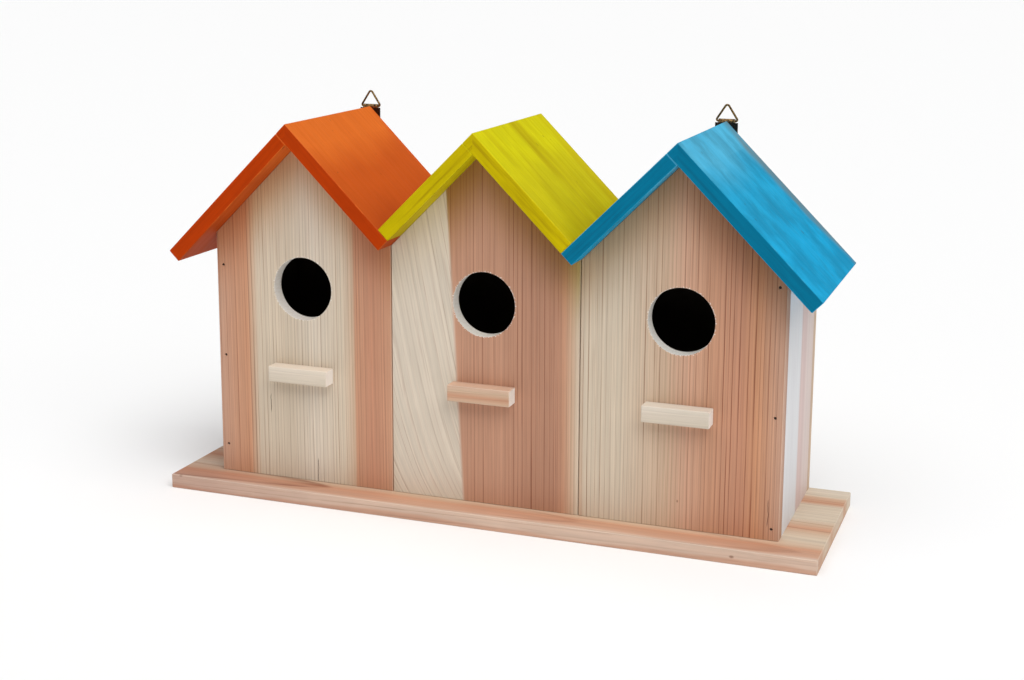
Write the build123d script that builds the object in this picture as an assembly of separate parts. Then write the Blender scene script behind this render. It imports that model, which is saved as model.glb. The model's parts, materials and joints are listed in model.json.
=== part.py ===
"""Row of three gabled birdhouses on one base board, with two wall hangers at the back.

Millimetres. X runs along the row, Y from front to back, Z up. The origin is on the
underside of the base, in the middle of the whole object's length and depth.
"""
from build123d import *
import math
import os

# ---------------------------------------------------------------- driving dimensions
# The row of houses
house_width = 122.0        # one house, and the pitch of the row
body_depth = 102.0         # front face of the front panels to back face of the back panels
eave_height = 157.5        # base top to the roof's underside at the house's side
roof_pitch = 45.0          # degrees
panel_gap = 0.5            # dark line between neighbouring panels

# Board thicknesses
front_thickness = 9.0
back_thickness = 9.0
wall_thickness = 9.0
divider_thickness = 9.0
roof_thickness = 9.0
base_thickness = 9.0

# Base
base_front_overhang = 21.0
base_side_overhang = 26.0
back_strip_depth = 16.0    # strip glued along the back edge of the base board

# Roof
roof_front_overhang = 19.0
eave_overhang = 23.4       # along the slope, past the outer side walls

# Entrances and perches
entrance_diameter = 40.0
entrance_below_eave = 32.0  # centre of the entrance below the eave line
perch_length = 40.5
perch_height = 10.0
perch_depth = 10.0
perch_below_entrance = 29.5  # bottom of the entrance to the top of the perch

# Edges
arris = 0.4                # eased edges of the boards

# Brads: round shank, round head, sunk below the surface
brad_shank_radius = 0.55
brad_head_radius = 0.85
brad_head_height = 0.6
brad_point = 1.6
brad_sink = 0.9            # head below the face it was driven through
roof_brad_cover = 1.2      # stopping and paint over the head of a roof brad
long_brad = 25.0
short_brad = 15.0
brad_clearance = 0.05      # radial, in the wood
pit_overrun = 1.0          # a brad's hole is cut this far past the face
wall_brads_left = (18.0, -1.0, 20.5)   # above the foot, from mid-height, below the eave
wall_brads_right = (7.0, -5.0, 7.5)
base_brad_inset = 22.0     # from the end of a wall or the side of a panel
roof_brad_shares = (0.33, 0.75)        # down the gable's slope
perch_brad_spacing = 24.0

# Wall hangers
wire_diameter = 1.3
wire_clearance = 0.06      # radial, between the wire and the rolled eye
ring_half_base = 7.25      # triangle of the wire's centre line, corners left sharp
ring_leg_angle = 57.0      # degrees
ring_corner_radius = 0.95
ring_top_radius = 1.35
plate_thickness = 0.7
plate_width = 14.4
plate_height = 19.0        # hinge line to the plate's lower edge
plate_corner = 1.5
eye_width = 10.4
eye_slot = 0.4             # opening left where the rolled eye comes back to the plate
hinge_below_ridge = 0.2
shoulder_gap = 0.25        # wire to the plate's shoulders
screw_drops = (5.2, 15.5)  # below the hinge line
screw_shank_radius = 1.0
screw_head_radius = 1.75
screw_head_height = 1.2
screw_head_rim = 0.4       # upright part of the head's edge
screw_head_flat = 1.05     # radius of the flat on top of the dome
screw_length = 10.0
screw_point = 2.0
screw_clearance = 0.1      # radial, in the plate's holes
thread_clearance = 0.05    # radial, in the wood
screw_recess = (2.2, 0.5, 0.7)         # cross recess: length, width, depth

# ---------------------------------------------------------------- positions worked out
slope = math.tan(math.radians(roof_pitch))
eye_inner_radius = wire_diameter / 2 + wire_clearance
eye_outer_radius = eye_inner_radius + plate_thickness
hanger_standout = 2 * eye_outer_radius

overall_depth = base_front_overhang + body_depth + hanger_standout
base_front_y = -overall_depth / 2
front_y = base_front_y + base_front_overhang
back_y = front_y + body_depth
wall_front_y = front_y + front_thickness
wall_back_y = back_y - back_thickness
roof_front_y = front_y - roof_front_overhang

open_pit = brad_sink + pit_overrun
base_top_z = base_thickness
eave_z = base_top_z + eave_height
apex_z = eave_z + house_width / 2 * slope
ridge_z = apex_z + roof_thickness / math.cos(math.radians(roof_pitch))
hinge_y = back_y + eye_outer_radius
hinge_z = ridge_z - hinge_below_ridge

side_x = 1.5 * house_width - panel_gap / 2
wall_centre_x = side_x - wall_thickness / 2
base_half_length = 1.5 * house_width + base_side_overhang
entrance_z = eave_z - entrance_below_eave
perch_top_z = entrance_z - entrance_diameter / 2 - perch_below_entrance

HOUSES = {"left": -house_width, "middle": 0.0, "right": house_width}


# ---------------------------------------------------------------- shared shapes
def prism(points, y_from, y_to):
    """Solid with an outline given in X and Z, between two depths."""
    outline = Wire.make_polygon([Vector(x, y_from, z) for x, z in points], close=True)
    return extrude(Face(outline), amount=y_to - y_from, dir=(0, 1, 0))


def block(x_from, x_to, y_from, y_to, z_from, z_to):
    """Box between three pairs of limits."""
    corners = [(x_from, z_from), (x_to, z_from), (x_to, z_to), (x_from, z_to)]
    return prism(corners, y_from, y_to)


def eased(board):
    """Board with all its edges eased."""
    return chamfer(board.edges(), length=arris)


def turned(profile):
    """Solid of revolution about +Z from (radius, height) points."""
    outline = Wire.make_polygon([Vector(r, 0, z) for r, z in profile], close=True)
    return revolve(Face(outline), axis=Axis.Z)


def placed(shape, point, direction):
    """Shape whose own +Z is laid along a direction, from a point."""
    return shape.moved(Plane(origin=point, z_dir=direction).location)


def cut_all(board, cutters):
    """Board with every cutter taken away."""
    for cutter in cutters:
        board = board - cutter
    return board


def underside_z(x, centre_x):
    """Height of a house's roof underside at x."""
    return apex_z - abs(x - centre_x) * slope


# ---------------------------------------------------------------- brads and screws
def brad(length):
    """Brad with the top of its head at the origin, pointing along +Z."""
    return turned([
        (0, 0), (brad_head_radius, 0), (brad_head_radius, brad_head_height),
        (brad_shank_radius, brad_head_height), (brad_shank_radius, length - brad_point), (0, length),
    ])


def brad_hole(length, pit):
    """Room for a brad; pit is how far its head lies below the face it was driven through."""
    head = brad_head_radius + brad_clearance
    shank = brad_shank_radius + brad_clearance
    return turned([
        (0, -pit), (head, -pit), (head, brad_head_height),
        (shank, brad_head_height), (shank, length + brad_clearance), (0, length + brad_clearance),
    ])


def brad_set(spots, length, pit):
    """Brads and their holes for a list of (point, direction)."""
    nail = brad(length)
    hole = brad_hole(length, pit)
    nails = [placed(nail, point, direction) for point, direction in spots]
    holes = [placed(hole, point, direction) for point, direction in spots]
    return nails, holes


def wall_brad_heights(rule):
    """Three heights for the brads along one side of a panel."""
    foot, from_middle, below_eave = rule
    return [base_top_z + foot, base_top_z + eave_height / 2 + from_middle, eave_z - below_eave]


def panel_brad_spots(side, face_y, direction_y):
    """Brads through a front or back panel into one outer side wall."""
    rule = wall_brads_left if side < 0 else wall_brads_right
    y = face_y + direction_y * brad_sink
    return [((side * wall_centre_x, y, z), (0, direction_y, 0)) for z in wall_brad_heights(rule)]


def base_brad_spots():
    """Brads up through the base: into the walls and dividers, and into the panels."""
    walls_x = [-wall_centre_x, -house_width / 2, house_width / 2, wall_centre_x]
    walls_y = [wall_front_y + base_brad_inset, wall_back_y - base_brad_inset]
    spots = {"wall": [(x, y) for x in walls_x for y in walls_y]}
    panel_x = [cx + s * (house_width / 2 - base_brad_inset) for cx in HOUSES.values() for s in (-1, 1)]
    spots["front"] = [(x, front_y + front_thickness / 2) for x in panel_x]
    spots["back"] = [(x, back_y - back_thickness / 2) for x in panel_x]
    return {name: [((x, y, brad_sink), (0, 0, 1)) for x, y in group] for name, group in spots.items()}


def roof_brad_spots(centre_x, side):
    """Brads through one roof board into the sloping edges of its two panels."""
    angle = math.radians(roof_pitch)
    along = (side * math.cos(angle), -math.sin(angle))
    outward = (side * math.sin(angle), math.cos(angle))
    gable = house_width / 2 / math.cos(angle)
    rise = roof_thickness - roof_brad_cover
    spots = []
    for y in (front_y + front_thickness / 2, back_y - back_thickness / 2):
        for share in roof_brad_shares:
            x = centre_x + along[0] * gable * share + outward[0] * rise
            z = apex_z + along[1] * gable * share + outward[1] * rise
            spots.append(((x, y, z), (-outward[0], 0, -outward[1])))
    return spots


def perch_brad_spots(centre_x):
    """Brads from inside the house, through the front panel into the perch."""
    z = perch_top_z - perch_height / 2
    y = wall_front_y - brad_sink
    return [((centre_x + s * perch_brad_spacing / 2, y, z), (0, -1, 0)) for s in (-1, 1)]


def hanger_screw_spots(centre_x):
    """Screws through a hanger plate; the point is under the head."""
    y = back_y + plate_thickness
    return [((centre_x, y, hinge_z - drop), (0, -1, 0)) for drop in screw_drops]


front_brads, front_brad_holes = brad_set(
    panel_brad_spots(-1, front_y, 1) + panel_brad_spots(1, front_y, 1), long_brad, open_pit)
back_brads, back_brad_holes = brad_set(
    panel_brad_spots(-1, back_y, -1) + panel_brad_spots(1, back_y, -1), long_brad, open_pit)
base_spots = base_brad_spots()
base_brads, base_brad_holes = [], {}
for group_name, group in base_spots.items():
    group_brads, base_brad_holes[group_name] = brad_set(group, long_brad, open_pit)
    base_brads += group_brads
roof_brads, roof_brad_holes = [], {}
perch_brads, perch_brad_holes = [], {}
for house, house_x in HOUSES.items():
    for board_side in (-1, 1):
        group_brads, roof_brad_holes[house, board_side] = brad_set(
            roof_brad_spots(house_x, board_side), long_brad, 0.0)
        roof_brads += group_brads
    group_brads, perch_brad_holes[house] = brad_set(perch_brad_spots(house_x), short_brad, open_pit)
    perch_brads += group_brads


def near(holes, x_from, x_to):
    """The holes whose middle lies between two values of X."""
    return [h for h in holes if x_from < h.bounding_box().center().X < x_to]


# ---------------------------------------------------------------- base
def base_board():
    """Main board of the base, as far back as the strip."""
    board = eased(block(-base_half_length, base_half_length,
                        base_front_y, back_y - back_strip_depth, 0, base_thickness))
    return cut_all(board, base_brad_holes["wall"] + base_brad_holes["front"])


def base_back_strip():
    """Narrow strip that makes up the base's depth, glued to the board's back edge."""
    strip = eased(block(-base_half_length, base_half_length,
                        back_y - back_strip_depth, back_y, 0, base_thickness))
    return cut_all(strip, base_brad_holes["back"])


# ---------------------------------------------------------------- walls
def panel(centre_x, y_from, y_to):
    """Gabled panel, as wide as one house less the gap to the next."""
    half = (house_width - panel_gap) / 2
    shoulder = underside_z(centre_x + half, centre_x)
    return prism([
        (centre_x - half, base_top_z), (centre_x + half, base_top_z),
        (centre_x + half, shoulder), (centre_x, apex_z), (centre_x - half, shoulder),
    ], y_from, y_to)


def house_holes(house, holes_by_side):
    """Holes of both roof boards of one house."""
    return holes_by_side[house, -1] + holes_by_side[house, 1]


def front_panel(house):
    """Front panel with its round entrance."""
    x = HOUSES[house]
    board = panel(x, front_y, wall_front_y)
    board = chamfer(board.faces().sort_by(Axis.Y)[0].edges(), length=arris)
    entrance = Cylinder(entrance_diameter / 2, 2 * front_thickness)
    board -= placed(entrance, (x, front_y + front_thickness / 2, entrance_z), (0, 1, 0))
    beside = near(front_brad_holes + base_brad_holes["front"], x - house_width / 2, x + house_width / 2)
    return cut_all(board, beside + house_holes(house, roof_brad_holes) + perch_brad_holes[house])


def back_panel(house):
    """Plain back panel."""
    x = HOUSES[house]
    board = panel(x, wall_back_y, back_y)
    board = chamfer(board.faces().sort_by(Axis.Y)[-1].edges(), length=arris)
    beside = near(back_brad_holes + base_brad_holes["back"], x - house_width / 2, x + house_width / 2)
    return cut_all(board, beside + house_holes(house, roof_brad_holes) + screw_holes[house])


def side_wall(side):
    """Outer side wall, its top bevelled to the roof."""
    centre_x = side * house_width
    outer = side * side_x
    inner = side * (side_x - wall_thickness)
    board = prism([
        (outer, base_top_z), (inner, base_top_z),
        (inner, underside_z(inner, centre_x)), (outer, underside_z(outer, centre_x)),
    ], wall_front_y, wall_back_y)
    holes = front_brad_holes + back_brad_holes + base_brad_holes["wall"]
    return cut_all(board, near(holes, min(inner, outer), max(inner, outer)))


def divider(side):
    """Wall between two houses, under the valley of the roof."""
    x = side * house_width / 2
    half = divider_thickness / 2
    board = block(x - half, x + half, wall_front_y, wall_back_y, base_top_z, eave_z)
    return cut_all(board, near(base_brad_holes["wall"], x - half, x + half))


# ---------------------------------------------------------------- roof
def slope_line(centre_x, side, lift):
    """Line along one slope of a house's roof, lifted off the underside: a point and a direction."""
    angle = math.radians(roof_pitch)
    start = (centre_x + side * math.sin(angle) * lift, apex_z + math.cos(angle) * lift)
    return start, (side * math.cos(angle), -math.sin(angle))


def meet(first, second):
    """Point where two lines in X and Z cross."""
    (x1, z1), (u1, w1) = first
    (x2, z2), (u2, w2) = second
    share = ((x2 - x1) * w2 - (z2 - z1) * u2) / (u1 * w2 - w1 * u2)
    return x1 + share * u1, z1 + share * w1


def eave_line(centre_x, side):
    """Square end of a roof board that overhangs an outer side wall."""
    (x, z), (u, w) = slope_line(centre_x, side, 0)
    reach = house_width / 2 / math.cos(math.radians(roof_pitch)) + eave_overhang
    return (x + u * reach, z + w * reach), (-w, u)


def lower_end(house, side):
    """Line that a roof board ends on: its eave, or the slope of the house next to it."""
    x = HOUSES[house]
    if house == "middle":
        return slope_line(x + side * house_width, -side, roof_thickness)
    if side * x > 0:
        return eave_line(x, side)
    return slope_line(0.0, -side, 0)


def roof_board(house, side):
    """Roof board; the right-hand one laps over the top end of the left-hand one."""
    x = HOUSES[house]
    under = slope_line(x, side, 0)
    top = slope_line(x, side, roof_thickness)
    upper_end = slope_line(x, -side, roof_thickness if side > 0 else 0)
    lower = lower_end(house, side)
    outline = [meet(under, upper_end), meet(top, upper_end), meet(top, lower), meet(under, lower)]
    board = eased(prism(outline, roof_front_y, back_y))
    return cut_all(board, roof_brad_holes[house, side] + screw_holes[house])


# ---------------------------------------------------------------- perches
def perch(house):
    """Square bar on the front panel, its length along the row."""
    x = HOUSES[house]
    bar = eased(block(x - perch_length / 2, x + perch_length / 2,
                      front_y - perch_depth, front_y, perch_top_z - perch_height, perch_top_z))
    return cut_all(bar, perch_brad_holes[house])


# ---------------------------------------------------------------- wall hangers
def hanger_plate(centre_x):
    """Plate with a rolled eye at its top edge and two screw holes."""
    half = plate_width / 2
    shoulder_z = hinge_z - wire_diameter / 2 - shoulder_gap
    plate = block(centre_x - half, centre_x + half, back_y, back_y + plate_thickness,
                  hinge_z - plate_height, shoulder_z)
    lower_edges = plate.edges().filter_by(Axis.Y).group_by(Axis.Z)[0]
    plate = fillet(lower_edges, radius=plate_corner)
    eye_half = eye_width / 2
    plate += block(centre_x - eye_half, centre_x + eye_half, back_y, back_y + plate_thickness,
                   shoulder_z - plate_thickness, hinge_z)
    across = Plane(origin=(centre_x - eye_half, hinge_y, hinge_z), z_dir=(1, 0, 0))
    eye = extrude(across * (Circle(eye_outer_radius) - Circle(eye_inner_radius)), amount=eye_width)
    slot = block(centre_x - eye_width, centre_x + eye_width, back_y + plate_thickness,
                 hinge_y, hinge_z - eye_outer_radius, hinge_z - eye_inner_radius + eye_slot)
    plate += eye - slot
    for (x, _, z), _ in hanger_screw_spots(centre_x):
        hole = Cylinder(screw_shank_radius + screw_clearance, 4 * plate_thickness)
        plate -= placed(hole, (x, back_y, z), (0, 1, 0))
    return plate


def hanger_ring(centre_x):
    """Triangle of round wire, standing in the plate's eye."""
    leg = math.tan(math.radians(ring_leg_angle))
    corners = [(-ring_half_base, 0), (ring_half_base, 0), (0, ring_half_base * leg)]
    points = [Vector(centre_x + x, hinge_y, hinge_z + z) for x, z in corners]
    path = Wire.make_polygon(points, close=True)
    by_height = path.vertices().sort_by(Axis.Z)
    path = path.fillet_2d(ring_top_radius, [by_height[-1]])
    by_height = [v for v in path.vertices() if abs(v.Z - hinge_z) < ring_corner_radius / 2]
    path = path.fillet_2d(ring_corner_radius, by_height)
    section = Plane(origin=(centre_x, hinge_y, hinge_z), z_dir=(1, 0, 0)) * Circle(wire_diameter / 2)
    return sweep(section, path=path)


def hanger_screw():
    """Screw with a low domed head and a cross recess, pointing along +Z from under its head."""
    body = turned([
        (0, -screw_head_height), (screw_head_flat, -screw_head_height),
        (screw_head_radius, -screw_head_rim), (screw_head_radius, 0), (screw_shank_radius, 0),
        (screw_shank_radius, screw_length - screw_point), (0, screw_length),
    ])
    length, width, depth = screw_recess
    for size in ((length, width), (width, length)):
        body -= Pos(0, 0, -screw_head_height + depth / 2) * Box(size[0], size[1], depth)
    return body


def screw_room():
    """Hole in the wood for a hanger screw, from the plate's outer face inwards."""
    radius = screw_shank_radius + thread_clearance
    return turned([(0, 0), (radius, 0), (radius, screw_length), (0, screw_length)])


hanger_houses = {house: HOUSES[house] for house in ("left", "right")}
screw_holes = {house: [] for house in HOUSES}
hanger_screws = []
for house, house_x in hanger_houses.items():
    for point, direction in hanger_screw_spots(house_x):
        screw_holes[house].append(placed(screw_room(), point, direction))
        hanger_screws.append(placed(hanger_screw(), point, direction))

# ---------------------------------------------------------------- all the pieces
roof_colours = {"left": "orange", "middle": "yellow", "right": "blue"}
nodes = {"base_board": base_board(), "base_back_strip": base_back_strip()}
for house in HOUSES:
    nodes[f"front_panel_{house}"] = front_panel(house)
    nodes[f"back_panel_{house}"] = back_panel(house)
    nodes[f"perch_{house}"] = perch(house)
    for board_side, side_name in ((-1, "left"), (1, "right")):
        nodes[f"roof_{roof_colours[house]}_{side_name}"] = roof_board(house, board_side)
for wall_side, side_name in ((-1, "left"), (1, "right")):
    nodes[f"side_wall_{side_name}"] = side_wall(wall_side)
    nodes[f"divider_{side_name}"] = divider(wall_side)
for house, house_x in hanger_houses.items():
    nodes[f"hanger_plate_{house}"] = hanger_plate(house_x)
    nodes[f"hanger_ring_{house}"] = hanger_ring(house_x)
nodes["front_brads"] = Compound(children=front_brads)
nodes["back_brads"] = Compound(children=back_brads)
nodes["base_brads"] = Compound(children=base_brads)
nodes["roof_brads"] = Compound(children=roof_brads)
nodes["perch_brads"] = Compound(children=perch_brads)
nodes["hanger_screws"] = Compound(children=hanger_screws)

os.makedirs("parts", exist_ok=True)
for name, shape in nodes.items():
    export_step(shape, f"parts/{name}.step")
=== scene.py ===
"""Looks of the row of three birdhouses: camera, light, floor, timber, paint and metal.

Metres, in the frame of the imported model: X along the row, -Y towards the front, Z up.
"""
import json
import math

import bpy
from mathutils import Matrix, Vector


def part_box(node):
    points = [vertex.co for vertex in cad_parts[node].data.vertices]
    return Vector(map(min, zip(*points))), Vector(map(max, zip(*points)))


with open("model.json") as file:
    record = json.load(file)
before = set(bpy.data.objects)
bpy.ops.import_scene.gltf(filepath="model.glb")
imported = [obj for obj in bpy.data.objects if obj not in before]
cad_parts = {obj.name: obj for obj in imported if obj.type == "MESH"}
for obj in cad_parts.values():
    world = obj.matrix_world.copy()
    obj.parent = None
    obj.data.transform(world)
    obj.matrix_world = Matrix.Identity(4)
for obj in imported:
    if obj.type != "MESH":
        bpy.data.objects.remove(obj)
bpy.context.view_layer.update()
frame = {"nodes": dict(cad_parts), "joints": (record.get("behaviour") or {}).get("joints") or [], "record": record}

nodes = frame["nodes"]
MM = 0.001
X, Y, Z = (1, 0, 0), (0, 1, 0), (0, 0, 1)

# ---------------------------------------------------------------- places read from the frame
HOUSES = ("left", "middle", "right")
panel_box = {house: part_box(f"front_panel_{house}") for house in HOUSES}
centre_x = {house: (low.x + high.x) / 2 for house, (low, high) in panel_box.items()}
front_y = panel_box["middle"][0].y
wall_front_y = panel_box["middle"][1].y
wall_back_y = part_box("back_panel_middle")[0].y
back_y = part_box("back_panel_middle")[1].y
base_low, base_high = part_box("base_board")
base_top_z = base_high.z
apex_z = panel_box["middle"][1].z
eave_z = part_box("divider_left")[1].z
panel_width = (panel_box["middle"][1].x - panel_box["middle"][0].x) / MM
wall_depth = (wall_back_y - wall_front_y) / MM
base_depth = (base_high.y - base_low.y) / MM
mounts = {mount["name"]: mount for mount in frame["record"]["mounts"]}
entrance_height = (Vector(mounts["entrance_middle"]["pos_m"]).z - base_top_z) / MM
entrance_radius = mounts["entrance_middle"]["dims"]["r_mm"]
ring_hinge = Vector(frame["joints"][0]["pos_m"])
eye_radius = ring_hinge.y - back_y


# ---------------------------------------------------------------- colours
def tone(red, green, blue):
    """Linear colour from 0-255 display values."""
    def linear(value):
        share = value / 255
        return share / 12.92 if share <= 0.04045 else ((share + 0.055) / 1.055) ** 2.4
    return (linear(red), linear(green), linear(blue), 1.0)


CREAM = tone(212, 196, 174)
PALE_CREAM = tone(218, 205, 187)
TAN = tone(206, 176, 149)
SALMON = tone(200, 150, 120)
PINK_SALMON = tone(199, 157, 133)
DEEP_SALMON = tone(196, 141, 112)
HEARTWOOD = tone(196, 148, 121)
DARK_HEARTWOOD = tone(184, 136, 110)
WHITE_SAPWOOD = tone(225, 225, 227)
PINK_SAPWOOD = tone(217, 193, 187)
# Fresh sawn wood, lighter than its own colour: partly real pale wood, partly painted light for the entrance walls
# and the perch ends
SAWN_AND_PAINTED_LIGHT = tone(243, 238, 230)
LATEWOOD = tone(158, 98, 56)
CRACK = tone(70, 44, 30)
KNOT = tone(120, 74, 48)
DARK_SPECK = tone(70, 56, 30)
# Painted shade: dark brown for the chambers' inner faces and the dividers, which lie in shade
INSIDE_PAINTED_SHADE = tone(66, 54, 42)


# ---------------------------------------------------------------- shader nodes
class Shader:
    """One material's node tree, with short calls for the nodes it needs."""

    def __init__(self, name):
        self.material = bpy.data.materials.new(name)
        self.material.use_nodes = True
        self.tree = self.material.node_tree
        self.surface = self.tree.nodes["Principled BSDF"]
        coordinates = self.tree.nodes.new("ShaderNodeTexCoord")
        self.place = coordinates.outputs["Object"]
        self.normal = coordinates.outputs["Normal"]

    def put(self, socket, value):
        """Sets a socket to a number, a colour, a vector or another node's output."""
        if isinstance(value, bpy.types.NodeSocket):
            self.tree.links.new(value, socket)
        else:
            socket.default_value = value

    def math(self, operation, *values):
        """Result of a sum."""
        node = self.tree.nodes.new("ShaderNodeMath")
        node.operation = operation
        for socket, value in zip(node.inputs, values):
            self.put(socket, value)
        return node.outputs[0]

    def add(self, a, b):
        return self.math("ADD", a, b)

    def times(self, a, b):
        return self.math("MULTIPLY", a, b)

    def power(self, value, exponent):
        return self.math("POWER", value, exponent)

    def past(self, value, millimetres):
        """How far a value in metres is past a place in millimetres."""
        return self.add(value, -millimetres * MM)

    def far(self, first, *others):
        """Length of a vector from its parts."""
        return self.math("SQRT", self.squares(first, *others))

    def squares(self, first, *others):
        """Sum of the squares of some values."""
        square = self.power(first, 2.0)
        return self.add(square, self.squares(*others)) if others else square

    def along(self, vector, direction):
        """Length of a vector along a direction."""
        node = self.tree.nodes.new("ShaderNodeVectorMath")
        node.operation = "DOT_PRODUCT"
        self.put(node.inputs[0], vector)
        self.put(node.inputs[1], tuple(direction))
        return node.outputs["Value"]

    def facing(self, direction):
        """1 where the surface looks along a direction or against it, 0 where it runs with it."""
        return self.math("ABSOLUTE", self.along(self.normal, direction))

    def vector(self, x, y, z):
        """Vector from three values."""
        node = self.tree.nodes.new("ShaderNodeCombineXYZ")
        for socket, value in zip(node.inputs, (x, y, z)):
            self.put(socket, value)
        return node.outputs[0]

    def noise_at(self, place, detail=2.0, roughness=0.5):
        """Smooth noise from 0 to 1 at a place already scaled."""
        node = self.tree.nodes.new("ShaderNodeTexNoise")
        self.put(node.inputs["Vector"], place)
        node.inputs["Scale"].default_value = 1.0
        node.inputs["Detail"].default_value = detail
        node.inputs["Roughness"].default_value = roughness
        return node.outputs["Fac"]

    def noise(self, *axes, detail=2.0, roughness=0.5):
        """Smooth noise from 0 to 1. Each of three axes is (place, waves per metre) or a plain value."""
        scaled = [self.times(*axis) if isinstance(axis, tuple) else axis for axis in axes]
        return self.noise_at(self.vector(*scaled), detail, roughness)

    def swing(self, noise, size):
        """Noise turned into a shift to either side, with its whole size given."""
        return self.times(self.add(noise, -0.5), size)

    def random(self, value):
        """Random number from 0 to 1 for each whole number."""
        node = self.tree.nodes.new("ShaderNodeTexWhiteNoise")
        node.noise_dimensions = "1D"
        self.put(node.inputs["W"], value)
        return node.outputs["Value"]

    def step(self, value, low, high, out_low=0.0, out_high=1.0):
        """Smooth step of a value from one limit to another."""
        node = self.tree.nodes.new("ShaderNodeMapRange")
        node.interpolation_type = "SMOOTHSTEP"
        limits = (low, high, out_low, out_high)
        self.put(node.inputs["Value"], value)
        for name, limit in zip(("From Min", "From Max", "To Min", "To Max"), limits):
            self.put(node.inputs[name], limit)
        return node.outputs[0]

    def between(self, value, low, high, soft):
        """1 between two limits, with soft ends."""
        rise = self.step(value, low - soft, low + soft)
        fall = self.step(value, high - soft, high + soft, 1.0, 0.0)
        return self.times(rise, fall)

    def mix(self, share, a, b, blend="MIX"):
        """Colour between two colours."""
        node = self.tree.nodes.new("ShaderNodeMix")
        node.data_type = "RGBA"
        node.blend_type = blend
        self.put(node.inputs["Factor"], share)
        self.put(node.inputs[6], a)
        self.put(node.inputs[7], b)
        return node.outputs[2]

    def shaded(self, colour, shade):
        """Colour times a lightness around 1."""
        return self.mix(1.0, colour, self.vector(shade, shade, shade), "MULTIPLY")

    def inked(self, share, colour, ink):
        """Colour with a share of an ink soaked into it."""
        return self.mix(share, colour, self.mix(1.0, colour, ink, "MULTIPLY"))

    def ramp(self, value, stops, width):
        """Colour from (place, colour) stops over a width, with the places in millimetres."""
        node = self.tree.nodes.new("ShaderNodeValToRGB")
        self.put(node.inputs[0], self.times(value, 1 / (width * MM)))
        elements = node.color_ramp.elements
        while len(elements) < len(stops):
            elements.new(0.5)
        for element, (place, colour) in zip(elements, stops):
            element.position = place / width
            element.color = colour
        return node.outputs[0]

    def finish(self, colour, roughness, height, depth, strength):
        """Wires colour, roughness and bump to the surface; the height runs from 0 to 1 over the depth."""
        bump = self.tree.nodes.new("ShaderNodeBump")
        bump.inputs["Strength"].default_value = strength
        bump.inputs["Distance"].default_value = depth
        self.put(bump.inputs["Height"], height)
        self.put(self.surface.inputs["Normal"], bump.outputs[0])
        self.put(self.surface.inputs["Base Color"], colour)
        self.put(self.surface.inputs["Roughness"], roughness)
        return self.material


GRAIN_BUMP = 0.12 * MM      # height of open grain, bare or under thin paint


def rings(shader, ring_place, seed):
    """Latewood line from 0 to 1 at a distance counted in rings, each ring a little different."""
    uneven = shader.noise((ring_place, 0.31), seed, 0.0, detail=1.0)
    counted = shader.add(ring_place, shader.times(uneven, 2.2))
    whole = shader.math("FLOOR", counted)
    share = shader.math("FRACT", counted)
    chance = shader.random(shader.add(whole, seed))
    start = shader.step(chance, 0.0, 1.0, 0.62, 0.86)
    rise = shader.power(shader.step(share, start, 0.94), 1.5)
    fall = shader.step(share, 0.94, 0.99, 1.0, 0.0)
    weight = shader.step(shader.random(shader.add(whole, seed + 7.3)), 0.0, 1.0, 0.3, 1.0)
    return shader.times(shader.times(rise, fall), weight)


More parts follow.
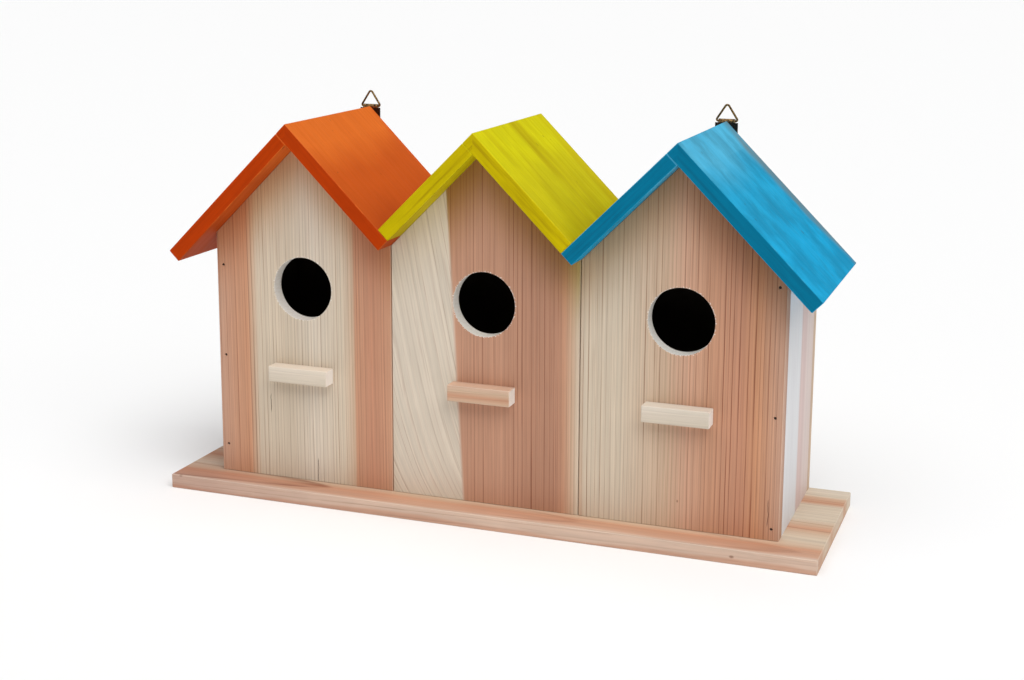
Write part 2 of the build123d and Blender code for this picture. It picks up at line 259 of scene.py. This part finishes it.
# ---------------------------------------------------------------- timber
class Board(Shader):
    """Timber's shader, with the board's own places: u across it, w along its grain, d through it."""

    def __init__(self, name, origin, across, grain, seed):
        super().__init__(name)
        self.seed = seed
        self.across = Vector(across)
        self.grain = Vector(grain)
        self.through = self.across.cross(self.grain)
        self.u = self.from_origin(origin, self.across)
        self.w = self.from_origin(origin, self.grain)
        self.d = self.from_origin(origin, self.through)

    def from_origin(self, origin, direction):
        """Distance from the origin along a direction."""
        return self.add(self.along(self.place, direction), -Vector(origin).dot(direction))

    def fan_bend(self, fan):
        """Shift of the rings on a side of the board where they lean, lie wider and curl near the foot."""
        fan_lean, spread, curl, curl_height = fan
        foot = self.power(math.e, self.times(self.w, -1 / (curl_height * MM)))
        bent = self.add(self.times(self.w, fan_lean), self.times(foot, -curl * MM))
        return self.add(bent, self.times(self.u, -spread))

    def crept_stain(self, house, reach):
        """Share of the painted shade under the roof overhang, fading out below a house's slopes."""
        x_size = self.math("ABSOLUTE", self.add(self.along(self.place, X), -centre_x[house]))
        rise = self.add(self.along(self.place, Z), -apex_z)
        below = self.times(self.add(x_size, rise), -math.sqrt(0.5))
        return self.step(below, 0.0, reach * MM, 1.0, 0.0)

    def slit(self, number, across_at, low, high, slit_width):
        """1 in a hairline split along the grain, which wavers a little."""
        wobble = self.noise((self.w, 160), self.seed + number, 0.0, detail=1.0)
        line_u = self.add(self.swing(wobble, 1.6 * MM), -across_at * MM)
        off = self.math("ABSOLUTE", self.add(self.u, line_u))
        length = self.between(self.w, low * MM, high * MM, 1.5 * MM)
        return self.times(self.step(off, 0.2 * slit_width * MM, slit_width * MM, 1.0, 0.0), length)

    def knot(self, across_at, along_at, through_at, radius):
        """Share of a pin knot, longer along the grain than across it."""
        stretched = self.times(self.past(self.w, along_at), 0.6)
        off = self.far(self.past(self.d, through_at), self.past(self.u, across_at), stretched)
        return self.step(off, 0.4 * radius * MM, 1.3 * radius * MM, 0.65, 0.0)

    def cut_entrance(self, entrance, on_face, colour, height, arris):
        """Fresh sawn wall of the entrance with a chipped rim, its pale colour partly the wood's own and partly
        painted light on the shaded wall: the new colour, height and arris.
        """
        hole_u, hole_w, hole_radius = entrance
        off = self.far(self.past(self.u, hole_u), self.past(self.w, hole_w))
        near_hole = self.step(off, (hole_radius + 0.02) * MM, (hole_radius + 0.12) * MM, 1.0, 0.0)
        sawn = self.times(near_hole, self.step(on_face, 0.3, 0.6, 1.0, 0.0))
        rough = self.noise((self.u, 900), (self.w, 900), (self.d, 260), detail=3.0)
        fresh = self.mix(self.step(rough, 0.35, 0.6), PALE_CREAM, SAWN_AND_PAINTED_LIGHT)
        colour = self.mix(self.times(sawn, 0.92), colour, fresh)
        ragged = self.add(hole_radius * MM, self.step(rough, 0.45, 0.75, 0.0, 1.1 * MM))
        chipped = self.math("LESS_THAN", off, ragged)
        colour = self.mix(self.times(chipped, 0.7), colour, SAWN_AND_PAINTED_LIGHT)
        height = self.add(height, self.times(self.times(sawn, rough), 1.5))
        arris = self.times(arris, self.add(1.0, self.times(sawn, -1.0)))
        return colour, height, arris


def timber(name, origin, across, grain, stops, width, ring=3.0, pith=(-250, -40), lean=0.0, dive=0.0,
           zone_lean=(0.0, 1000), fan=None, wander=0.6, zone_wander=1.0, line_strength=0.55,
           streak=0.07, end_tint=TAN, end_share=0.35, slits=(), knots=(), entrance=None,
           inside=None, stain=None, layer=None, fade=None, *, seed):
    """Bare planed board. Its colour runs across by the stops; growth rings and fibre lie along the grain.

    Lengths are in millimetres, from the origin.
    width, stops: the board's width, and the places and colours across it
    ring, pith: ring width, and the middle of the tree, across and through the board
    lean, dive: tilt of the rings along the grain, sideways and through the board
    zone_lean: tilt of the colours along the grain, up to a place across the board
    fan: colour boundary, left of which the rings have a lean, a spread, a curl and the curl's height
    wander, zone_wander: how far rings and colours stray sideways
    line_strength, streak: strength of the ring lines and of the streaks between them
    end_tint, end_share: colour of the end grain and its share
    slits: splits as place across, low end, high end and width
    knots: pin knots as place across, along and through, and radius
    entrance: the hole's place across and along, and its radius
    inside: direction of the chamber, whose faces get a dark painted shade
    stain: house, tint and reach of the painted shade below the roof slopes; the middle panel's tint is also a
    painted reflection of the yellow roof
    layer: other colour through part of the thickness, where it starts and how softly
    fade: tint and length of darker wood at the board's start
    """
    board = Board(name, origin, across, grain, seed)
    u, w, d = board.u, board.w, board.d

    # Place across the board that sets the broad colours
    zone_noise = board.noise((u, 40), (w, 9), seed + 3.1, detail=3.0)
    zone_tilt, tilt_to = zone_lean
    tilt_share = board.step(u, tilt_to * MM, (tilt_to + 20) * MM, 1.0, 0.0)
    tilted = board.times(board.times(w, zone_tilt), tilt_share)
    zone_place = board.add(board.add(u, tilted), board.swing(zone_noise, 2 * zone_wander * MM))

    # Growth rings, which wander slowly along the grain
    slow = board.noise((u, 28), (w, 7), seed)
    u_ring = board.add(board.add(u, board.swing(slow, 2 * wander * MM)), board.times(w, lean))
    if fan:
        fan_to, *fan_shape = fan
        fanned = board.math("LESS_THAN", zone_place, fan_to * MM)
        u_ring = board.add(u_ring, board.times(fanned, board.fan_bend(fan_shape)))
    pith_u, pith_d = pith
    d_ring = board.add(d, board.add(board.times(w, dive), -pith_d * MM))
    from_pith = board.far(board.past(u_ring, pith_u), d_ring)
    line = rings(board, board.times(from_pith, 1 / (ring * MM)), seed)

    # Broad colours
    colour = board.ramp(zone_place, stops, width)
    if layer:
        layer_colour, layer_from, layer_soft = layer
        depth = board.add(d, board.swing(zone_noise, 8 * MM))
        share = board.step(depth, (layer_from - layer_soft) * MM, (layer_from + layer_soft) * MM)
        colour = board.mix(share, colour, layer_colour)
    if fade:
        fade_tint, fade_length = fade
        share = board.step(w, 0.0, fade_length * MM, 1.0, 0.0)
        colour = board.mix(share, colour, fade_tint, "MULTIPLY")

    # Streaks, fibre, blotches and pores
    streaks = board.noise((u_ring, 850), (w, 5), (d, 300), roughness=0.6)
    fibre = board.noise((u, 2600), (w, 60), (d, 2600), detail=3.0, roughness=0.65)
    blotch = board.noise((u, 26), (w, 12), board.add(d, seed))
    shade = board.add(board.step(streaks, 0.25, 0.75, 1 - streak, 1 + streak),
                      board.step(blotch, 0.3, 0.7, -0.035, 0.035))
    shade = board.add(shade, board.step(fibre, 0.3, 0.7, -0.03, 0.03))
    colour = board.shaded(colour, shade)
    pores = board.noise((u_ring, 1150), (w, 16), (d, 500), detail=1.0)
    colour = board.inked(board.step(pores, 0.6, 0.72, 0.0, 1.8 * streak), colour, LATEWOOD)

    # Ring lines, which thin out in places
    thin = board.step(board.noise((u, 300), (w, 14), seed + 9.0), 0.3, 0.65, 0.35, 1.0)
    mark = board.times(board.times(line, thin), line_strength)
    if fan:
        mark = board.times(mark, board.add(1.0, board.times(fanned, -0.35)))
    colour = board.inked(mark, colour, LATEWOOD)
    height = board.add(board.times(fibre, 0.5), board.times(line, -0.35))

    # Painted shade under the roof overhang, multiplied into the wood colour below each roof
    if stain:
        house, stain_tint, reach = stain
        eave_shade_share = board.crept_stain(house, reach)
        if fan:
            eave_shade_share = board.times(eave_shade_share, board.add(1.0, board.times(fanned, -0.65)))
        colour = board.mix(board.power(eave_shade_share, 1.5), colour, stain_tint, "MULTIPLY")

    for number, slit_shape in enumerate(slits):
        slit = board.slit(number, *slit_shape)
        colour = board.mix(slit, colour, CRACK)
        height = board.add(height, board.times(slit, -2.0))

    for knot_shape in knots:
        knot = board.knot(*knot_shape)
        colour = board.mix(knot, colour, KNOT)
        height = board.add(height, board.times(knot, -0.6))

    # End grain is darker and rougher, the arrises are worn pale
    on_grain = board.facing(board.grain)
    on_across = board.facing(board.across)
    on_face = board.facing(board.through)
    end = board.step(on_grain, 0.6, 0.9)
    colour = board.mix(board.times(end, end_share), colour, end_tint)
    flattest = board.math("MAXIMUM", board.math("MAXIMUM", on_grain, on_across), on_face)
    arris = board.step(flattest, 0.75, 0.95, 1.0, 0.0)
    if entrance:
        colour, height, arris = board.cut_entrance(entrance, on_face, colour, height, arris)
    colour = board.mix(board.times(arris, 0.25), colour, PALE_CREAM)
    # Faces turned into the chamber are coloured dark as painted shade
    if inside:
        inward = board.step(board.along(board.normal, inside), 0.6, 0.9)
        colour = board.mix(inward, colour, INSIDE_PAINTED_SHADE)

    roughness = board.add(board.step(fibre, 0.3, 0.7, 0.52, 0.66), board.times(end, 0.12))
    board.surface.inputs["Specular IOR Level"].default_value = 0.32
    return board.finish(colour, roughness, height, GRAIN_BUMP, 0.55)


# ---------------------------------------------------------------- paint
roof_pitch = math.atan2(apex_z - eave_z, (centre_x["right"] - centre_x["middle"]) / 2)


def roof_paint(name, house, face, ridge, valley, front, edge_streak, streak_colour, streaks, patchy,
               back_band, seed):
    """Thin stain paint on the two boards of a roof, with the grain running down the slope.

    face, ridge, valley: colour of the slopes, of their top and of their foot
    front, edge_streak: colour of the boards' front and back edges, darker than the slopes partly from a heavier
    coat and partly as painted shade, and its brush streaks
    streak_colour, streaks: colour and strength of the streaks down the slopes
    patchy: how much the slopes' lightness varies
    back_band: colour of the band along the back edge, where it starts in millimetres, and strength; worn grey on
    the blue roof, a lighter painted highlight on the orange roof
    """
    shader = Shader(name)
    x_off = shader.add(shader.along(shader.place, X), -centre_x[house])
    x_size = shader.math("ABSOLUTE", x_off)
    side = shader.math("SIGN", x_off)
    z_drop = shader.add(shader.times(shader.along(shader.place, Z), -1.0), apex_z)

    # Places down the slope, through the board and back along the ridge; each side has its own noise
    w = shader.add(shader.times(x_size, math.cos(roof_pitch)), shader.times(z_drop, math.sin(roof_pitch)))
    d = shader.add(shader.times(x_size, math.sin(roof_pitch)), shader.times(z_drop, -math.cos(roof_pitch)))
    u = shader.add(shader.along(shader.place, Y), -front_y)
    bank = shader.add(shader.times(side, 3.7), seed)

    # Grain that shows through the paint
    slow = shader.noise((u, 22), (w, 7), bank)
    u_ring = shader.add(u, shader.swing(slow, 5 * MM))
    d_ring = shader.add(d, shader.add(shader.times(w, 0.03), 0.05))
    from_pith = shader.far(shader.add(u_ring, 0.16), d_ring)
    line = rings(shader, shader.times(from_pith, 1 / (4.2 * MM)), seed)
    fibre = shader.noise((u, 2400), (w, 70), (d, 2400), detail=3.0, roughness=0.6)

    # Brush marks and thick and thin paint
    brush = shader.noise((u, 300), (w, 6), bank, detail=4.0, roughness=0.6)
    broad = shader.noise((u, 60), (w, 8), bank, detail=3.0)
    cloud = shader.noise((u, 24), (w, 18), bank, detail=3.0, roughness=0.55)
    mottle = shader.noise((u, 55), (w, 34), bank, detail=5.0, roughness=0.6)

    # Slopes
    down = shader.add(w, shader.swing(cloud, 34 * MM))
    colour = shader.mix(shader.step(down, 4 * MM, 40 * MM), ridge, face)
    colour = shader.mix(shader.times(shader.step(w, 11 * MM, 12 * MM, 1.0, 0.0), 0.6), colour, ridge)
    colour = shader.mix(shader.step(down, 42 * MM, 88 * MM), colour, valley)
    colour = shader.shaded(colour, shader.step(mottle, 0.3, 0.7, 1 - patchy, 1 + patchy))
    colour = shader.mix(shader.times(shader.step(broad, 0.45, 0.75), streaks), colour, streak_colour)
    brushed = shader.times(shader.step(brush, 0.5, 0.8), 0.35 * streaks)
    colour = shader.mix(brushed, colour, streak_colour)
    colour = shader.mix(shader.times(line, 0.22), colour, streak_colour)
    # Band along the back edge: wear on the blue roof, a painted highlight on the orange roof
    band_colour, band_from, band_strength = back_band
    edge = shader.add(u, shader.swing(cloud, 22 * MM))
    band = shader.step(edge, band_from * MM, (band_from + 8) * MM)
    band = shader.times(band, shader.step(mottle, 0.35, 0.6, 0.35, 1.0))
    colour = shader.mix(shader.times(band, band_strength), colour, band_colour)

    # Front and back edges: a darker colour, partly a heavier coat of paint and partly painted shade on faces
    # turned from the light above
    on_edge = shader.step(shader.facing(Y), 0.6, 0.9)
    edge_brush = shader.noise((d, 520), (w, 15), bank, detail=4.0, roughness=0.6)
    edge_colour = shader.mix(shader.step(edge_brush, 0.45, 0.72, 0.0, 0.75), front, edge_streak)
    edge_patch = shader.noise((d, 90), (w, 40), bank, detail=4.0, roughness=0.6)
    edge_colour = shader.shaded(edge_colour, shader.step(edge_patch, 0.3, 0.7, 0.95, 1.05))
    colour = shader.mix(on_edge, colour, edge_colour)

    # Thin paint over the arrises lets paler wood through
    square = shader.facing(Y)
    flat = shader.times(shader.add(shader.facing(X), shader.facing(Z)), math.sqrt(0.5))
    arris = shader.times(shader.step(square, 0.2, 0.45), shader.step(square, 0.9, 0.8))
    rubbing = shader.noise((u, 200), (w, 120), bank, detail=3.0)
    worn = shader.times(arris, shader.step(rubbing, 0.45, 0.7, 0.0, 0.5))
    colour = shader.mix(worn, colour, ridge)

    # Fibre and dark specks
    colour = shader.shaded(colour, shader.step(fibre, 0.3, 0.7, 0.95, 1.05))
    speck = shader.noise((u, 320), (w, 130), bank, detail=1.0)
    colour = shader.mix(shader.step(speck, 0.76, 0.82, 0.0, 0.6), colour, DARK_SPECK)

    roughness = shader.add(shader.step(brush, 0.3, 0.7, 0.5, 0.62), shader.times(flat, 0.02))
    relief = shader.add(shader.times(brush, 0.5), shader.times(line, -0.3))
    height = shader.add(shader.times(fibre, 0.4), relief)
    shader.surface.inputs["Specular IOR Level"].default_value = 0.06
    return shader.finish(colour, roughness, height, GRAIN_BUMP, 0.6)


# ---------------------------------------------------------------- metal
def aged_metal(name, dark, bright, metallic, rough_low, rough_high, share=0.5, rolled=None):
    """Metal with patina: bright where it is rubbed, dark in between.

    share is the part that stays dark; rolled is the colour of the metal rolled round the rings' hinge.
    """
    shader = Shader(name)
    scaled = shader.tree.nodes.new("ShaderNodeVectorMath")
    scaled.operation = "SCALE"
    shader.put(scaled.inputs[0], shader.place)
    scaled.inputs["Scale"].default_value = 900.0
    grain = shader.noise_at(scaled.outputs[0], detail=4.0, roughness=0.6)
    fine = shader.noise(*[(shader.along(shader.place, axis), 5200) for axis in (X, Y, Z)])
    colour = shader.mix(shader.step(grain, share - 0.12, share + 0.12), dark, bright)
    if rolled:
        deep = shader.add(shader.along(shader.place, Y), -ring_hinge.y)
        high = shader.add(shader.along(shader.place, Z), -ring_hinge.z)
        on_roll = shader.step(shader.far(deep, high), eye_radius, eye_radius + 0.4 * MM, 1.0, 0.0)
        roll_colour = shader.mix(shader.step(grain, 0.35, 0.6), dark, rolled)
        colour = shader.mix(on_roll, colour, roll_colour)
    shader.surface.inputs["Metallic"].default_value = metallic
    roughness = shader.step(grain, 0.3, 0.7, rough_high, rough_low)
    return shader.finish(colour, roughness, shader.add(grain, shader.times(fine, 0.4)), 0.02 * MM, 0.5)


# ---------------------------------------------------------------- every board's own timber
def dress(node, material):
    """Gives a CAD node its material."""
    mesh = nodes[node].data
    mesh.materials.clear()
    mesh.materials.append(material)


def panel_origin(house, y):
    """Lower left front corner of a panel."""
    return (panel_box[house][0].x, y, base_top_z)


def front_panel_timber(house, stops, **settings):
    """Front panel: upright grain, painted shade inside, fresh wood partly brightened with painted light in the
    entrance.
    """
    material = timber(
        f"front_{house}_timber", panel_origin(house, front_y), X, Z, stops, panel_width,
        entrance=(panel_width / 2, entrance_height, entrance_radius), inside=Y, **settings)
    dress(f"front_panel_{house}", material)


# Below its roof each panel gets painted shade; in the middle panel it is yellowed as a painted reflection of the
# yellow roof
front_panel_timber("left", [
    (0, PINK_SALMON), (12, SALMON), (21, tone(203, 150, 117)), (25, TAN), (29, CREAM), (52, CREAM),
    (68, PALE_CREAM), (88, CREAM), (95.6, TAN), (96.8, SALMON), (108, DEEP_SALMON), (121.5, SALMON),
], ring=2.3, seed=1.0, lean=0.006, slits=[(69.5, -4, 15, 0.3), (36.5, 43.5, 54.5, 0.3)],
    stain=("left", tone(232, 204, 170), 42), line_strength=0.75, streak=0.09)

front_panel_timber("middle", [
    (0, CREAM), (6, PALE_CREAM), (46.5, PALE_CREAM), (48.6, HEARTWOOD), (72, HEARTWOOD),
    (90, DARK_HEARTWOOD), (108, DARK_HEARTWOOD), (112, SALMON), (118, TAN), (121.5, CREAM),
], ring=2.8, seed=2.0, lean=0.005, zone_lean=(0.057, 60), zone_wander=0.25,
    fan=(47.4, 0.10, 0.42, 9, 34), stain=("middle", tone(204, 188, 112), 46),
    line_strength=0.75, streak=0.09)

front_panel_timber("right", [
    (0, TAN), (4, CREAM), (26, CREAM), (54, TAN), (66, tone(211, 167, 140)), (80, SALMON),
    (98, DEEP_SALMON), (108, tone(202, 146, 110)), (121.5, PINK_SALMON),
], ring=2.9, seed=3.0, slits=[(114.8, 9, 24, 0.25)], zone_lean=(0.02, 1000),
    stain=("right", tone(210, 190, 164), 44), line_strength=0.95, streak=0.10,
    knots=[(61, 17, 0, 0.5)])

# Back panels: house, pith across the board, dive of the rings
BACK_GRAIN = (("left", 66, 0.05), ("middle", 34, -0.06), ("right", 84, 0.035))
for number, (house, pith_u, dive) in enumerate(BACK_GRAIN):
    heart_to = 30 + 12 * number
    dress(f"back_panel_{house}", timber(
        f"back_{house}_timber", panel_origin(house, back_y), X, Z,
        [(0, SALMON), (heart_to, SALMON), (heart_to + 8, CREAM), (92, CREAM), (121.5, TAN)],
        panel_width, ring=3.4, pith=(pith_u, 30), dive=dive, seed=11.0 + number, inside=(0, -1, 0)))

# Outer walls and dividers
WALL_STOPS = [
    (0, WHITE_SAPWOOD), (41, WHITE_SAPWOOD), (45, PINK_SAPWOOD), (58, PINK_SAPWOOD),
    (64, tone(222, 204, 198)), (84, tone(220, 202, 194)),
]
# The dividers stand inside the chambers and are coloured all over with the painted shade
DIVIDER_STOPS = [(0, INSIDE_PAINTED_SHADE), (84, INSIDE_PAINTED_SHADE)]
for side, name in ((-1, "left"), (1, "right")):
    wall_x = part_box(f"side_wall_{name}")[0].x
    dress(f"side_wall_{name}", timber(
        f"wall_{name}_timber", (wall_x, wall_front_y, base_top_z), Y, Z, WALL_STOPS, wall_depth,
        ring=3.6, pith=(-120, -60), seed=21.0 + side, line_strength=0.16, streak=0.05,
        inside=(-side, 0, 0)))
    divider_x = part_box(f"divider_{name}")[0].x
    dress(f"divider_{name}", timber(
        f"divider_{name}_timber", (divider_x, wall_front_y, base_top_z), Y, Z, DIVIDER_STOPS, wall_depth,
        ring=3.2, seed=31.0 + side))

# Base board and the strip along its back edge
BASE_STOPS = [
    (0, tone(212, 184, 164)), (1.5, tone(210, 182, 162)), (4, PINK_SALMON), (14, SALMON), (19, TAN),
    (30, CREAM), (42, TAN), (48, SALMON), (56, TAN), (66, CREAM), (90, CREAM), (96, SALMON), (107, TAN),
]
dress("base_board", timber(
    "base_timber", (base_low.x, base_low.y, 0.0), Y, X, BASE_STOPS, base_depth,
    ring=3.3, pith=(14, -46), dive=0.02, lean=0.01, seed=41.0, wander=3.5, zone_wander=3.0,
    line_strength=0.7, knots=[(0.0, 369, -4.5, 0.9), (0.6, 6.7, -8.6, 0.9)],
    layer=(PINK_SALMON, -2.6, 1.3), fade=(tone(232, 222, 222), 170)))
strip_low, strip_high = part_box("base_back_strip")
dress("base_back_strip", timber(
    "strip_timber", (strip_low.x, strip_low.y, 0.0), Y, X,
    [(0, TAN), (1.5, CREAM), (12, PALE_CREAM), (16, CREAM)],
    (strip_high.y - strip_low.y) / MM, ring=3.0, pith=(-60, -50), dive=0.01, seed=43.0, line_strength=0.3))

# Perches: colours from the underside up, and strength of the ring lines; the left and right perches lighten
# towards the top as a painted highlight on their top faces
PERCH_LOOKS = {
    "left": ([(0, tone(208, 195, 176)), (10, tone(226, 213, 196))], 0.18),
    "middle": ([(0, TAN), (4, SALMON), (7, TAN), (10, tone(212, 178, 154))], 0.5),
    "right": ([(0, tone(210, 197, 178)), (10, tone(226, 214, 198))], 0.18),
}
# Every perch's end grain is coloured near white instead of darker: painted light on the ends
for number, (house, (stops, line_strength)) in enumerate(PERCH_LOOKS.items()):
    low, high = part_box(f"perch_{house}")
    dress(f"perch_{house}", timber(
        f"perch_{house}_timber", (low.x, low.y, low.z), Z, X, stops, (high.z - low.z) / MM,
        ring=2.2, pith=(-12, 30), dive=0.02, seed=51.0 + number, wander=0.8, zone_wander=0.6,
        line_strength=line_strength, streak=0.05, end_tint=SAWN_AND_PAINTED_LIGHT, end_share=1.0))

# ---------------------------------------------------------------- roofs
paints = {
    # The orange roof's lighter back band is a painted highlight
    "orange": roof_paint(
        "orange_roof_paint", "left", face=tone(196, 86, 28), ridge=tone(220, 110, 40),
        valley=tone(172, 70, 22), front=tone(182, 58, 0), edge_streak=tone(172, 54, 2),
        streak_colour=tone(184, 80, 20), streaks=0.2, patchy=0.03,
        back_band=(tone(216, 92, 38), 97, 0.7), seed=61.0),
    "yellow": roof_paint(
        "yellow_roof_paint", "middle", face=tone(205, 190, 20), ridge=tone(213, 203, 16),
        valley=tone(182, 160, 0), front=tone(198, 178, 0), edge_streak=tone(162, 132, 4),
        streak_colour=tone(164, 134, 0), streaks=0.7, patchy=0.06,
        back_band=(tone(186, 162, 6), 88, 0.4), seed=67.0),
    "blue": roof_paint(
        "blue_roof_paint", "right", face=tone(34, 154, 196), ridge=tone(78, 170, 204),
        valley=tone(26, 156, 202), front=tone(0, 116, 152), edge_streak=tone(6, 102, 134),
        streak_colour=tone(16, 128, 170), streaks=0.2, patchy=0.2,
        back_band=(tone(104, 124, 128), 87, 0.85), seed=71.0),
}
for colour, paint in paints.items():
    for side in ("left", "right"):
        dress(f"roof_{colour}_{side}", paint)

# ---------------------------------------------------------------- brads and hangers
brad_metal = aged_metal("brad_metal", tone(40, 30, 26), tone(92, 80, 72), 0.8, 0.35, 0.6)
wire_metal = aged_metal("hanger_wire_metal", tone(70, 50, 30), tone(150, 118, 66), 1.0, 0.25, 0.45)
plate_metal = aged_metal("hanger_plate_metal", tone(46, 36, 32), tone(84, 66, 52), 0.85, 0.3, 0.5,
                         share=0.6, rolled=tone(168, 132, 84))
screw_metal = aged_metal("hanger_screw_metal", tone(120, 96, 54), tone(190, 158, 94), 1.0, 0.25, 0.42)
for group in ("front", "back", "base", "roof", "perch"):
    dress(f"{group}_brads", brad_metal)
for side in ("left", "right"):
    dress(f"hanger_ring_{side}", wire_metal)
    dress(f"hanger_plate_{side}", plate_metal)
dress("hanger_screws", screw_metal)


# ---------------------------------------------------------------- floor, light and camera
def add_to_scene(name, data):
    """New object in the scene."""
    placed = bpy.data.objects.new(name, data)
    bpy.context.scene.collection.objects.link(placed)
    return placed


def make_floor(half, whiteness):
    """Plain pale square floor under the base."""
    mesh = bpy.data.meshes.new("floor")
    corners = [(-half, -half, 0), (half, -half, 0), (half, half, 0), (-half, half, 0)]
    mesh.from_pydata(corners, [], [(0, 1, 2, 3)])
    paper = bpy.data.materials.new("floor_paper")
    paper.use_nodes = True
    surface = paper.node_tree.nodes["Principled BSDF"]
    surface.inputs["Base Color"].default_value = (whiteness, whiteness, whiteness, 1.0)
    surface.inputs["Roughness"].default_value = 0.9
    surface.inputs["Specular IOR Level"].default_value = 0.1
    mesh.materials.append(paper)
    add_to_scene("floor", mesh)


def make_soft_light(name, source, spread, strength):
    """Wide soft light from the direction of its source, the same over the whole floor."""
    lamp = bpy.data.lights.new(name, "SUN")
    lamp.angle = math.radians(spread)
    lamp.energy = strength
    holder = add_to_scene(name, lamp)
    holder.location = source
    holder.rotation_mode = "QUATERNION"
    holder.rotation_quaternion = Vector(source).to_track_quat("Z", "Y")


def make_world(strength):
    """Even white surroundings."""
    world = bpy.data.worlds.new("studio")
    world.use_nodes = True
    background = world.node_tree.nodes["Background"]
    background.inputs["Color"].default_value = (1.0, 1.0, 1.0, 1.0)
    background.inputs["Strength"].default_value = strength
    bpy.context.scene.world = world


def make_camera(place, turn, down, roll, lens, shift):
    """Camera to the right of the front and a little above, with its angles in degrees."""
    camera = bpy.data.cameras.new("camera")
    camera.sensor_width = 36.0
    camera.lens = lens
    camera.shift_y = shift
    holder = add_to_scene("camera", camera)
    aim = Matrix.Rotation(math.radians(turn), 4, "Z")
    tilt = Matrix.Rotation(math.pi / 2 - math.radians(down), 4, "X")
    level = Matrix.Rotation(math.radians(roll), 4, "Z")
    holder.matrix_world = Matrix.Translation(Vector(place)) @ aim @ tilt @ level
    bpy.context.scene.camera = holder


make_floor(half=80.0, whiteness=0.93)
make_world(strength=0.16)
make_soft_light("key_light", source=(1.0, -0.75, 1.5), spread=55.0, strength=1.5)
make_soft_light("top_light", source=(0.1, -0.45, 1.6), spread=80.0, strength=1.8)
make_camera(place=(0.3389, -0.9149, 0.3459), turn=20.19, down=11.12, roll=0.29, lens=56.07, shift=-0.078)
bpy.context.scene.view_settings.view_transform = "Standard"
